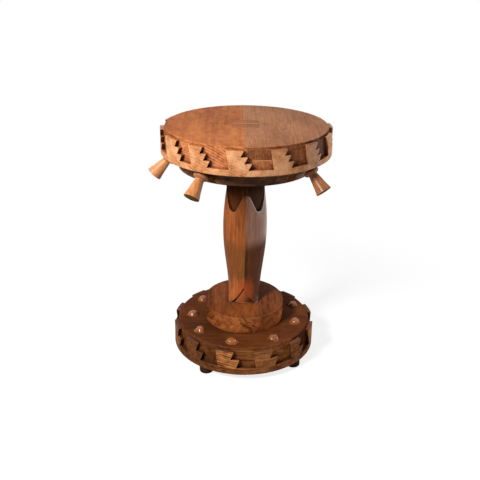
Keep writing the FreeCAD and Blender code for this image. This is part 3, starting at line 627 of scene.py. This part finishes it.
# %% [markdown]
# A pointed arch is cut into the foot of each arris, and its sides are bowed.
# The left side of the front one is undercut, and the shadow there is painted
# nearly black, so its line is the distance from an arc. Where the arch meets
# the plinth a pale line is a painted highlight.

# %% The arch in the front arris
PLINTH_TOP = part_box("plinth")[1].z
ARCH_TURN = math.radians(42.5)
ARCH_ACROSS = Vector((math.cos(ARCH_TURN), math.sin(ARCH_TURN), 0))
ARC_ACROSS, ARC_UP, ARC_RADIUS = -0.0954, 0.0808, 0.103
UNDERCUT_SHADOW = (0.008, 0.004, 0.002)
FOOT_HIGHLIGHT = (0.6, 0.36, 0.24)
RED_PATCH = (0.42, 0.072, 0.015)

above_plinth = height - PLINTH_TOP
from_centre = {"X": trunk.toward(ARCH_ACROSS) - ARC_ACROSS, "Y": above_plinth - ARC_UP}
from_centre = trunk.node("ShaderNodeCombineXYZ", None, from_centre)
arc = trunk.vector("LENGTH", from_centre, out="Value") - ARC_RADIUS
# painted shadow: a near-black band along the undercut left side of the front arch
undercut_shadow = trunk.smooth(arc, -0.0006, 0.0001) * (1 - trunk.smooth(arc, 0.0018, 0.0042))
undercut_shadow = undercut_shadow * (1 - trunk.smooth(above_plinth, 0.036, 0.043))
undercut_shadow = undercut_shadow * (1 - trunk.smooth(rightward, 0, 0.003))
colour = trunk.blend(undercut_shadow * 0.95, colour, UNDERCUT_SHADOW)
# painted highlight: a pale line where the arch meets the plinth
foot_line = (1 - trunk.smooth(above_plinth, 0.001, 0.0025)) * trunk.smooth(arc, 0.004, 0.006)
colour = trunk.blend(foot_line * 0.6, colour, FOOT_HIGHLIGHT)
patch = trunk.distance(FRONT * 0.06 + RIGHT * 0.008 + UP * 0.18)
patch = 1 - trunk.smooth(patch + (trunk.mottle - 0.5) * 0.03, 0.014, 0.046)
colour = trunk.blend(patch * (1 - undercut_shadow) * 0.7, colour, RED_PATCH)
print(f"the plinth's top is {PLINTH_TOP * 1000:.0f} mm up")

# %% [markdown]
# A scoop is cut into the top of each face: a V with a round bottom. The lip of
# the one on the shaded side gets a pale painted highlight. The distance from a
# V's side and from its round end, taken together, draws such a line at one
# width all the way.

# %% The pale lip of a scoop
FACE_TURN, SCOOP_SPREAD = math.radians(3.4), math.radians(22)
FACE_OUT = Vector((math.cos(FACE_TURN), math.sin(FACE_TURN), 0))
FACE_ALONG = Vector((-math.sin(FACE_TURN), math.cos(FACE_TURN), 0))
SCOOP_LEVEL, SCOOP_ROUND = 0.258, 0.014
LIP_HIGHLIGHT = (0.62, 0.47, 0.38)

scoop_side = trunk.math("ABSOLUTE", trunk.toward(FACE_ALONG))
scoop_up = above_plinth - SCOOP_LEVEL
past_side = scoop_side * math.cos(SCOOP_SPREAD) - scoop_up * math.sin(SCOOP_SPREAD)
past_end = (scoop_side * math.sin(SCOOP_SPREAD) + scoop_up * math.cos(SCOOP_SPREAD)) * -1
past_end = trunk.math("MAXIMUM", past_end, 0)
from_lip = (past_side * past_side + past_end * past_end) ** 0.5 - SCOOP_ROUND
# painted highlight along the lip of the right scoop
painted_highlight = 1 - trunk.smooth(from_lip, 0.0012, 0.0028)
painted_highlight = painted_highlight * trunk.smooth(trunk.toward(FACE_OUT), 0.03, 0.034)
painted_highlight = painted_highlight * trunk.smooth(height, 0.37, 0.375)
colour = trunk.blend(painted_highlight * 0.75, colour, LIP_HIGHLIGHT)
print(f"the scoop's bottom is round by {SCOOP_ROUND * 1000:.0f} mm")

# %% [markdown]
# Inside the scoops the wood is as the gouge left it, without varnish, and is
# painted dark as shade. A turned core shows there, and it widens upwards, so a
# straight rise from one radius to the next tells core from face. The neck
# above, under the disc, is painted dark all round as shade.

# %% The hollows and the neck
HOLLOW_SHADE, NECK_SHADE = (0.045, 0.015, 0.006), (0.025, 0.009, 0.004)
CORE = {"From Min": 0.377, "From Max": 0.436, "To Min": 0.0385, "To Max": 0.0462}

core_radius = trunk.node("ShaderNodeMapRange", None, {"Value": height, **CORE})
hollow = 1 - trunk.smooth(out - core_radius, 0.0004, 0.0016)
hollow = hollow * trunk.smooth(height, 0.36, 0.365)
# painted shade in the hollows, stronger on the shaded side
colour = trunk.blend(hollow * (shaded_side * 0.25 + 0.7), colour, HOLLOW_SHADE)
neck = trunk.smooth(height + uneven, 0.415, 0.455)
# painted shade on the neck under the disc
colour = trunk.blend(neck * 0.85, colour, NECK_SHADE)
varnish = (shaded_side * (1 - lower) * (1 - neck) * 0.86 + 0.14) * (1 - hollow)
print(f"the core widens from {CORE['To Min'] * 1000:.1f} to {CORE['To Max'] * 1000:.1f} mm")

# %% [markdown]
# The end of the tenon shows in the tabletop. It was sanded and stained with
# the boards, half with the one and half with the other. Glue has darkened its
# joints, and the gap beside its wedge is painted dark as a shadow.

# %% The tenon's end
TENON_LEFT, TENON_RIGHT, TENON_HALF_DEPTH = 0.0325, 0.0275, 0.0325
END_ORANGE, END_BROWN = (0.47, 0.137, 0.033), (0.36, 0.128, 0.044)
END_JOINT_AND_SHADOW, END_FIGURE = (0.09, 0.03, 0.011), (0.2, 0.06, 0.018)

over, back = trunk.toward(SEAM_ACROSS), trunk.toward(SEAM_ALONG)
stained = trunk.blend(trunk.smooth(over, -0.001, 0.001), END_ORANGE, END_BROWN)
joint = trunk.math("MINIMUM", over + TENON_LEFT, TENON_RIGHT - over)
joint = trunk.math("MINIMUM", joint, TENON_HALF_DEPTH - trunk.math("ABSOLUTE", back))
joint = 1 - trunk.smooth(joint, 0.0004, 0.0016)
# painted shadow in the gap beside the wedge; the joints are darkened by glue
gap = trunk.smooth(back, -0.004, 0) * (1 - trunk.smooth(back, 0.003, 0.004))
stained = trunk.blend(joint * 0.35 + gap * 0.55, stained, END_JOINT_AND_SHADOW)
stained = trunk.blend(trunk.smooth(trunk.mottle, 0.35, 0.75) * 0.4, stained, END_FIGURE)
end_grain = trunk.smooth(height, TABLE_TOP - 0.03, TABLE_TOP - 0.029)
colour = trunk.blend(end_grain, colour, stained)
varnish = varnish * (1 - end_grain) + end_grain * 0.17
print(f"the tenon is {(TENON_LEFT + TENON_RIGHT) * 1000:.0f} mm across the seam")

# %% Varnish the column
# edge colours: worn pale on the left, and a grey painted highlight on the shaded right side
WORN_LEFT, RIGHT_EDGE_HIGHLIGHT = (0.6, 0.25, 0.1), (0.55, 0.42, 0.33)

worn_and_highlight = trunk.blend(shaded_side, WORN_LEFT, RIGHT_EDGE_HIGHLIGHT)
wear_and_highlight = trunk.smooth(height, 0.2, 0.3) * 0.65 + 0.15
paint(trunk.finish(colour, worn_and_highlight, gloss=varnish, wear_and_highlight=wear_and_highlight, shade_in_corners=0.95), "column")

# %% The wedges in its ends
WEDGE = ((0.70, 0.34, 0.14), (0.56, 0.23, 0.08), (0.28, 0.09, 0.03))

wedge = Wood("wedge_wood", SEAM_ACROSS, (0, 0, 0.2), ring_gap=0.003)
varnished = wedge.finish(wedge.colour(*WEDGE), WORN_TAN, gloss=0.2)
paint(varnished, "top_tenon_wedge", "foot_tenon_wedge")

# %% [markdown]
# ## The plinth
#
# A turned block, reddish, with a drying check across its front: two dark
# cracks that run down to the right. They are drawn as thin bands round a
# wavering line, and a soft mask round one spot keeps them there. The wall took
# the stain in clouds, and the top is darker and more even.

# %% The plinth's stain
PLINTH_WALL = ((0.47, 0.15, 0.043), (0.27, 0.077, 0.02), (0.07, 0.018, 0.006))
PLINTH_LID = ((0.25, 0.072, 0.02), (0.165, 0.043, 0.011), (0.05, 0.012, 0.004))

pith = SEAM_ACROSS * 0.03 + UP * 0.06
plinth = Wood("plinth_wood", SEAM_ALONG, pith, ring_gap=0.006, waver=0.03)
wall = plinth.colour(*PLINTH_WALL, streaks=0.5, fibres=0.3, clouds=1.6, mottles=1.2)
lid = plinth.colour(*PLINTH_LID, streaks=1.1, fibres=0.4, clouds=1.3, mottles=0.8)
normal = plinth.node("ShaderNodeNewGeometry", out="True Normal")
upward = plinth.vector("DOT_PRODUCT", normal, UP, out="Value")
colour = plinth.blend(plinth.smooth(upward, 0.6, 0.9), wall, lid)
print("the plinth's wall and its top took the stain differently")

# %% The plinth's cracks
CRACK_LEVEL = 0.112
CRACK_SHIFTS = (0.002, 0.015)
CRACKED_SPOT = FRONT * 0.1 + Vector((0.006, 0.006, CRACK_LEVEL))

rightward = plinth.toward(RIGHT)
wander = (plinth.noise(70, 1, detail=3) - 0.5) * 0.022
downhill = rightward * 0.75 + (plinth.toward(UP) - CRACK_LEVEL) * 0.85 + wander
first, second = (
    1 - plinth.smooth(plinth.math("ABSOLUTE", downhill - shift), 0.0005, 0.002)
    for shift in CRACK_SHIFTS
)
spot = 1 - plinth.smooth(plinth.distance(CRACKED_SPOT), 0.016, 0.034)
spot = spot * plinth.smooth(plinth.toward(FRONT), 0.08, 0.09)
colour = plinth.blend((first + second) * spot * 0.95, colour, DUST_AND_SHADE)
# painted highlight: the edges on the right are pale grey; on the left they are worn
worn_and_highlight = plinth.blend(plinth.smooth(rightward, 0, 0.04), (0.3, 0.11, 0.04), (0.5, 0.36, 0.27))
paint(plinth.finish(colour, worn_and_highlight, gloss=0.1, wear_and_highlight=0.7), "plinth")

# %% [markdown]
# ## The carved base
#
# The base disc has the same frieze in a larger step, under a darker stain, and
# its corners get painted shade that is nearly black. One side, at the left in
# front, took the most of the stain.

# %% The base disc
BASE_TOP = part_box("base_disc")[1].z
BASE = ((0.20, 0.062, 0.019), (0.125, 0.034, 0.0095), (0.05, 0.013, 0.004))
BASE_PANEL = ((0.70, 0.29, 0.10), (0.44, 0.16, 0.047), (0.08, 0.022, 0.006))
BASE_FIELD = ((0.32, 0.115, 0.038), (0.18, 0.058, 0.016), (0.04, 0.011, 0.003))
BASE_RIM = {
    "lip": 0.167, "ledge": BASE_TOP - 0.006, "band": BASE_TOP - 0.0514,
    "count": 12, "turn": 45.5 - 90, "hatched": 0, "uneven": 2.0,
}
DARKEST_SPOT = RIGHT * -0.11 + FRONT * 0.10 + UP * (BASE_TOP - 0.02)

base = Wood("base_wood", SEAM_ACROSS, SEAM_ALONG * 0.05 + UP * -0.22, waver=0.03)
colour = base.colour(*BASE, streaks=0.6, fibres=0.4)
panel = base.colour(*BASE_PANEL, rings=0.3, streaks=1.6, fibres=0.5)
field = base.colour(*BASE_FIELD, rings=0.2, streaks=1.4, mottles=1.0)
colour, varnish = frieze(base, colour, panel, field, BASE_RIM)
dark = 1 - base.smooth(base.distance(DARKEST_SPOT), 0.05, 0.11)
colour = base.blend(dark * 0.45, colour, (0.045, 0.016, 0.005))
paint(base.finish(colour, (0.42, 0.18, 0.08), gloss=varnish * 0.3 + 0.06), "base_disc")

# %% [markdown]
# ## The drum pegs
#
# Each peg was turned on a lathe: a bead like a ring, then a cone that widens
# to its end. Seen close, no corner of a turned peg is sharp. So a half
# outline is spun into a closed shape, and a small bevel softens the rings
# where two faces meet at an angle. A peg's grain follows its own axis, so each
# one gets its own copy of the finish.

# %% Spin an outline and soften its corners
def spun(outline, steps):
    """A closed shape from (radius, height) pairs that turn round the Z axis."""
    shape = bmesh.new()
    rim = [shape.verts.new((radius, 0, height)) for radius, height in outline]
    wires = [shape.edges.new(pair) for pair in zip(rim, rim[1:])]
    bmesh.ops.spin(
        shape, geom=rim + wires, cent=(0, 0, 0), axis=(0, 0, 1), dvec=(0, 0, 0),
        angle=math.tau, steps=steps, use_merge=True,
    )
    bmesh.ops.remove_doubles(shape, verts=shape.verts, dist=1e-6)
    bmesh.ops.recalc_face_normals(shape, faces=shape.faces)
    return shape


def soften(shape, width):
    """Bevel the edges where two faces meet at a sharp angle."""
    sharp = [e for e in shape.edges if e.is_manifold and e.calc_face_angle() > SHARP_ANGLE]
    bmesh.ops.bevel(
        shape, geom=sharp, offset=width, affect="EDGES", segments=3, profile=0.5,
        material=-1, clamp_overlap=True,
    )


def finished_piece(name, shape, material):
    """A smooth-shaded piece from a shape that already lies in its place."""
    mesh = bpy.data.meshes.new(name)
    shape.to_mesh(mesh)
    shape.free()
    mesh.shade_smooth()
    mesh.materials.append(material)
    piece = bpy.data.objects.new(name, mesh)
    bpy.context.scene.collection.objects.link(piece)
    return piece


SHARP_ANGLE = 0.45
print(f"edges sharper than {math.degrees(SHARP_ANGLE):.0f} degrees are softened")

# %% [markdown]
# The third peg came out redder than the others. The varnish is worn off the
# end faces, which are dark and olive, and the bead is darker than the cone.

# %% Stain a peg
CONE_START, PEG_REACH = 0.0285, 0.0745
PEG_HONEY = ((0.76, 0.36, 0.15), (0.60, 0.25, 0.09), (0.30, 0.10, 0.03))
PEG_RED = ((0.54, 0.22, 0.08), (0.34, 0.12, 0.04), (0.12, 0.03, 0.01))
PEG_BEAD, PEG_END = (0.27, 0.10, 0.036), (0.085, 0.05, 0.02)


def peg_finish(name, place, stain):
    """Peg wood whose grain follows the peg, with a darker bead and end face."""
    axis = place.to_3x3() @ UP
    wood = Wood(name, axis, place @ Vector((0.03, 0.01, 0)), waver=0.01)
    colour = wood.colour(*stain, streaks=0.9)
    along_peg = wood.toward(axis) - place.translation.dot(axis)
    end_face = wood.smooth(along_peg, PEG_REACH - 0.0004, PEG_REACH + 0.0006)
    colour = wood.blend(end_face * 0.9, colour, PEG_END)
    bead = 1 - wood.smooth(along_peg, CONE_START, CONE_START + 0.004)
    colour = wood.blend(bead * 0.75, colour, PEG_BEAD)
    return wood.finish(colour, WORN_TAN, gloss=(1 - end_face) * 0.4, spread=0.3)


print(f"the cone runs from {CONE_START * 1000:.1f} to {PEG_REACH * 1000:.1f} mm")

# %% Turn the five pegs
PEG_TURNS = (-128.7, -77.5, 8.2, 87.5, 167)
PEG_SEAT, PEG_LEVEL, PEG_SLOPE = 0.166, 0.5275, 47
PEG_STEPS, PEG_SOFTNESS = 56, 0.0007
RED_PEG = 3
PEG_OUTLINE = [
    (0, -0.026), (0.008, -0.026), (0.008, 0.0163), (0.0125, 0.0167), (0.0153, 0.0183),
    (0.0170, 0.0206), (0.0175, 0.0226), (0.0170, 0.0248), (0.0153, 0.0270),
    (0.0126, 0.0284), (0.0102, 0.0292), (0.0101, 0.0310), (0.0125, 0.0450),
    (0.0152, 0.0610), (0.0180, 0.0730), (0.0184, 0.0747), (0.0120, 0.0756),
    (0.0060, 0.0760), (0, 0.0761),
]

for index, turn in enumerate(PEG_TURNS, start=1):
    place = (
        Matrix.Rotation(math.radians(turn), 4, "Z")
        @ Matrix.Translation((PEG_SEAT, 0, PEG_LEVEL))
        @ Matrix.Rotation(math.radians(90 + PEG_SLOPE), 4, "Y")
    )
    shape = spun(PEG_OUTLINE, PEG_STEPS)
    soften(shape, PEG_SOFTNESS)
    bmesh.ops.transform(shape, matrix=place, verts=shape.verts)
    stain = PEG_RED if index == RED_PEG else PEG_HONEY
    finish = peg_finish(f"peg_wood_{index}", place, stain)
    peg = finished_piece(f"turned_peg_{index}", shape, finish)
    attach(peg, "root")
    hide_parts(f"drum_peg_{index}")
    low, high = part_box(f"drum_peg_{index}")
    solid, turned = ([round(d * 1000) for d in size] for size in (high - low, peg.dimensions))
    print(f"{peg.name}: solid {solid} mm, piece {turned} mm")

# %% [markdown]
# ## The knobs
#
# The knobs were cut with a knife, not turned: low mounds with a flat or two
# where the blade slipped. So the outline of a mound is spun, and slow noise
# pushes its skin in and out. No two are alike, because the noise is read at
# the knob's own place. Their tops are polished by cloths, and their paler
# colour there is a painted highlight.

# %% Stain the knobs
KNOB = ((0.34, 0.11, 0.03), (0.19, 0.055, 0.014), (0.05, 0.014, 0.004))
KNOB_TOP_HIGHLIGHT, KNOB_WORN = (0.40, 0.135, 0.036), (0.5, 0.24, 0.11)

knob_wood = Wood("knob_wood", SEAM_ALONG, (0.02, 0.05, 0.05), ring_gap=0.004)
colour = knob_wood.colour(*KNOB, clouds=1.3, mottles=1.5)
height = knob_wood.toward(UP)
uneven = (knob_wood.mottle - 0.5) * 0.004
# painted highlight: the tops of the knobs are drawn paler
painted_highlight = knob_wood.smooth(height + uneven, BASE_TOP + 0.003, BASE_TOP + 0.008)
colour = knob_wood.blend(painted_highlight * 0.5, colour, KNOB_TOP_HIGHLIGHT)
polish = knob_wood.smooth(height, BASE_TOP + 0.0015, BASE_TOP + 0.004)
knob_finish = knob_wood.finish(colour, KNOB_WORN, gloss=polish * 0.8, spread=0.2)
print("the knobs are polished above their foot")

# %% Carve the knobs
KNOB_COUNT, KNOB_STEPS, KNOB_RADIUS = 9, 48, 0.0158
CHISEL_SCALE, CHISEL_DEPTH, CHISEL_APART = 1.3, 0.12, 90
# shares of the knob's radius and height
MOUND_SHARES = [
    (0, -0.25), (1, -0.25), (1, 0), (0.95, 0.03), (0.88, 0.09), (0.80, 0.21),
    (0.71, 0.43), (0.62, 0.64), (0.51, 0.82), (0.38, 0.93), (0.20, 0.985), (0, 1),
]

for index in range(1, KNOB_COUNT + 1):
    low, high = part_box(f"base_knob_{index}")
    centre = Vector(((low.x + high.x) / 2, (low.y + high.y) / 2, BASE_TOP))
    shape = spun(MOUND_SHARES, KNOB_STEPS)
    for vert in shape.verts:
        chisel = noise.noise(vert.co * CHISEL_SCALE + centre * CHISEL_APART)
        vert.co *= 1 + chisel * CHISEL_DEPTH
    size = (KNOB_RADIUS, KNOB_RADIUS, high.z - BASE_TOP)
    bmesh.ops.scale(shape, vec=size, verts=shape.verts)
    bmesh.ops.translate(shape, vec=centre, verts=shape.verts)
    knob = finished_piece(f"carved_knob_{index}", shape, knob_finish)
    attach(knob, "root")
    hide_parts(f"base_knob_{index}")
print(f"{KNOB_COUNT} knobs, {2 * KNOB_RADIUS * 1000:.0f} mm across")

# %% [markdown]
# ## Feet, dowels and screws
#
# The feet are stained black-brown. Dowels and screws are out of sight, but a
# table that is taken apart shows them, so they are finished too. The zinc on
# the screws is cloudy and a little brushed.

# %% Feet and dowels
FOOT = ((0.07, 0.032, 0.014), (0.035, 0.016, 0.008), (0.012, 0.006, 0.004))
# the second colour is the painted shade in the feet's corners
FOOT_WORN, FOOT_SHADE = (0.06, 0.035, 0.02), (0.01, 0.006, 0.004)
DOWEL = ((0.74, 0.55, 0.34), (0.62, 0.42, 0.24), (0.42, 0.26, 0.13))

foot = Wood("foot_wood", (1, 0, 0), (0, 0.1, -0.05), ring_gap=0.004)
stained = foot.finish(foot.colour(*FOOT), FOOT_WORN, shade_colour=FOOT_SHADE, gloss=0.05)
paint(stained, *[f"foot_pad_{index}" for index in range(1, 5)])

dowel = Wood("dowel_wood", SEAM_ACROSS, (0, 0, 0.5), ring_gap=0.002)
paint(dowel.finish(dowel.colour(*DOWEL), (0.8, 0.62, 0.4), gloss=0.1), "seam_dowels")

# %% Screws
ZINC_DULL, ZINC_BRIGHT = (0.48, 0.48, 0.46), (0.70, 0.70, 0.67)
BRUSHED = (1, 1, 12)

steel = bpy.data.materials.new("screw_steel")
zinc = Graph(steel)
where = zinc.node("ShaderNodeTexCoord", out="Object")
cloudy = zinc.node("ShaderNodeTexNoise", None, {"Vector": where, "Scale": 900, "Detail": 3})
drawn_out = zinc.vector("MULTIPLY", where, BRUSHED)
brushed = zinc.node("ShaderNodeTexNoise", None, {"Vector": drawn_out, "Scale": 700})
scratches = {"Strength": 0.2, "Distance": 0.0002, "Height": brushed}
surface = {
    "Metallic": 1,
    "Base Color": zinc.blend(cloudy, ZINC_DULL, ZINC_BRIGHT),
    "Roughness": cloudy * 0.3 + 0.25,
    "Normal": zinc.node("ShaderNodeBump", None, scratches),
}
for name, given in surface.items():
    zinc.feed(zinc.tree.nodes["Principled BSDF"].inputs[name], given)
paint(steel, "under_disc_screws", "foot_screws")

# %% [markdown]
# ## Last look
#
# The finished scene is measured against the solids that it started from: the
# print shows how far the softened pegs and the carved knobs reach past them.

# %% Measure and finish
low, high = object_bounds()
growth = max((high - cad_high).length, (low - cad_low).length)
print(f"a corner of the visual model's box lies {growth * 1000:.2f} mm from the solids' box")
